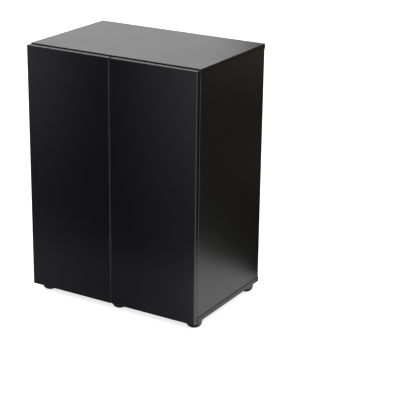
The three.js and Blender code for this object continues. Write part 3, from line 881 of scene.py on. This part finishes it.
# ---------------------------------------------------------------- light and floor, in metres
WHITE = (1, 1, 1)
WARM = (1.0, 0.94, 0.86)
LAMPS = {  # place, target, size and radiance of the soft boxes
    "overhead": ((0.0, -0.4, 3.2), (0, 0, 0.4), (3.0, 2.4), 0.9),
    "front_left": ((-2.2, -2.6, 2.9), (0, 0, 0.5), (1.8, 1.4), 3.0),
    "front_right": ((1.9, -2.8, 2.9), (0, 0, 0.5), (1.8, 1.4), 3.0),
}
SWEEPS = {  # the same for the pale wall behind, which only reflections see
    "back_sweep": ((-3.08, 3.25, 2.45), (0, 0, 0.8), (3.2, 2.4), 1.61),
    "back_sweep_right": ((2.9, 3.6, 1.75), (0, 0, 0.8), (3.2, 2.4), 0.35),
}
FLOOR_PANELS = {  # low and high corner, radiance and colour of the floor that only reflections see
    "floor_right": ((0.306, -2.4), (3.4, 0.26), 1.15, WHITE),
    "floor_right_rear": ((0.345, 0.26), (3.4, 0.31), 1.0, WHITE),
    "floor_right_fade": ((0.42, 0.31), (3.4, 0.37), 0.45, WHITE),
    "floor_far_right": ((0.6, 2.9), (3.6, 5.2), 0.36, WARM),
    "floor_back_right": ((0.30, 1.15), (1.05, 3.0), 0.13, WARM),
    "floor_behind_right": ((0.25, 0.42), (1.0, 1.15), 0.04, WARM),
    "floor_left": ((-3.0, -0.15), (-0.33, 1.6), 0.9, WHITE),
    "floor_back": ((-2.0, 0.4), (0.25, 2.4), 0.8, WHITE),
}
WORLD_STRENGTH = 1.12
FLOOR_TONE = 0.65
FLOOR_GLOW = 0.75  # lightens the shadow under the cabinet
FLOOR_HALF = 30.0


def area_light(name, place, target, size, radiance, color=WHITE, glossy_only=False):
    """A soft panel that faces target. Radiance is the brightness that a mirror would show."""
    data = bpy.data.lights.new(name, "AREA")
    data.shape = "RECTANGLE"
    data.size, data.size_y = size
    data.energy = radiance * size[0] * size[1] * math.pi
    data.color = color
    light = bpy.data.objects.new(name, data)
    bpy.context.scene.collection.objects.link(light)
    light.location = place
    light.rotation_euler = (Vector(target) - Vector(place)).to_track_quat("-Z", "Y").to_euler()
    light.visible_camera = False
    if glossy_only:
        light.visible_diffuse = False


def floor_panel(name, low, high, radiance, color):
    """A bright patch of studio floor, which only reflections see."""
    centre = ((low[0] + high[0]) / 2, (low[1] + high[1]) / 2, 0.0005)
    above = (centre[0], centre[1], 1.0)
    size = (high[0] - low[0], high[1] - low[1])
    area_light(name, centre, above, size, radiance, color, glossy_only=True)


def math_node(nodes, links, operation, *values):
    node = nodes.new("ShaderNodeMath")
    node.operation = operation
    for socket, value in zip(node.inputs, values):
        if isinstance(value, (int, float)):
            socket.default_value = value
        else:
            links.new(value, socket)
    return node.outputs[0]


def card(name, corner, width_edge, height_edge, color, strength):
    """A glowing card that only reflections see. strength is a number, or a function that builds nodes."""
    origin, wide, high = Vector(corner), Vector(width_edge), Vector(height_edge)
    mesh = bpy.data.meshes.new(name)
    mesh.from_pydata([origin, origin + wide, origin + wide + high, origin + high], [], [(0, 1, 2, 3)])
    material, nodes, links, shader = new_material(name)
    obj = make_object(name, mesh, material)
    nodes.remove(shader)
    glow = nodes.new("ShaderNodeEmission")
    glow.inputs["Color"].default_value = (*color, 1)
    if callable(strength):
        links.new(strength(nodes, links), glow.inputs["Strength"])
    else:
        glow.inputs["Strength"].default_value = strength
    links.new(glow.outputs[0], nodes["Material Output"].inputs["Surface"])
    obj.visible_camera = obj.visible_diffuse = obj.visible_shadow = obj.visible_transmission = False


def vee_glow(base, slope, gap, most, start, lean=0.0, rise=None):
    """Glow that is darkest along a line, where X = start + lean * Y, and brightens to both sides of it
    beyond gap. rise, if given, scales it with height: from Z, to Z, lower factor, upper factor."""
    def build(nodes, links):
        place = nodes.new("ShaderNodeSeparateXYZ")
        links.new(nodes.new("ShaderNodeTexCoord").outputs["Object"], place.inputs[0])
        line = math_node(nodes, links, "MULTIPLY_ADD", place.outputs["Y"], lean, start)
        offset = math_node(nodes, links, "SUBTRACT", place.outputs["X"], line)
        distance = math_node(nodes, links, "ABSOLUTE", offset)
        beyond = math_node(nodes, links, "SUBTRACT", distance, gap)
        past = math_node(nodes, links, "MAXIMUM", beyond, 0.0)
        glow = math_node(nodes, links, "MULTIPLY_ADD", past, slope, base)
        glow = math_node(nodes, links, "MINIMUM", glow, most)
        if rise is None:
            return glow
        height = nodes.new("ShaderNodeMapRange")
        for socket, value in zip(("From Min", "From Max", "To Min", "To Max"), rise):
            height.inputs[socket].default_value = value
        links.new(place.outputs["Z"], height.inputs["Value"])
        return math_node(nodes, links, "MULTIPLY", glow, height.outputs["Result"])
    return build


def build_world():
    scene = bpy.context.scene
    scene.view_settings.view_transform = "Standard"
    world = bpy.data.worlds.new("studio")
    world.use_nodes = True
    background = world.node_tree.nodes["Background"]
    background.inputs["Color"].default_value = (*WHITE, 1)
    background.inputs["Strength"].default_value = WORLD_STRENGTH
    world.cycles_visibility.glossy = False
    scene.world = world


def build_floor():
    bm = bmesh.new()
    bmesh.ops.create_grid(bm, x_segments=4, y_segments=4, size=FLOOR_HALF / MM)
    material, _, _, shader = new_material("floor")
    floor = from_bmesh("floor", bm, material)
    shader.inputs["Base Color"].default_value = (FLOOR_TONE, FLOOR_TONE, FLOOR_TONE, 1)
    shader.inputs["Roughness"].default_value = 1.0
    shader.inputs["Specular IOR Level"].default_value = 0.0
    shader.inputs["Emission Color"].default_value = (*WHITE, 1)
    shader.inputs["Emission Strength"].default_value = FLOOR_GLOW
    floor.visible_glossy = False


def build_lights():
    for name, (place, target, size, radiance) in LAMPS.items():
        area_light(name, place, target, size, radiance)
    for name, (place, target, size, radiance) in SWEEPS.items():
        area_light(name, place, target, size, radiance, glossy_only=True)
    for name, (low, high, radiance, color) in FLOOR_PANELS.items():
        floor_panel(name, low, high, radiance, color)


def build_cards():
    """Cards in front: the doors' reflections are darkest along a line near their left side."""
    card("floor_front_right", (0.33, -0.24, 0.003), (0.75, -0.02, 0), (-0.22, -0.42, 0), WHITE, 3.0)
    near = vee_glow(base=0.16, slope=0.5, gap=0.03, most=0.34, start=0.1376, lean=0.683)
    card("floor_front", (-1.3, -0.62, 0.001), (1.75, 0, 0), (0, 0.41, 0), (0.97, 0.97, 1.05), near)
    scrim = vee_glow(base=0.02, slope=1.9, gap=0.05, most=0.60, start=-0.29, rise=(0.20, 0.70, 0.22, 1.0))
    card("front_scrim", (-1.4, -0.62, 0.005), (2.0, 0, 0), (0, 0, 1.2), (0.96, 0.96, 1.06), scrim)
    card("right_strip", (0.75, -0.95, 0.005), (0.45, 0.75, 0), (0, 0, 1.1), WHITE, 2.8)


build_camera()
build_world()
build_floor()
build_lights()
build_cards()
build_boards()
build_doors()
build_feet()
build_cams()
build_shelf_pins()
build_hinges()
build_latches()
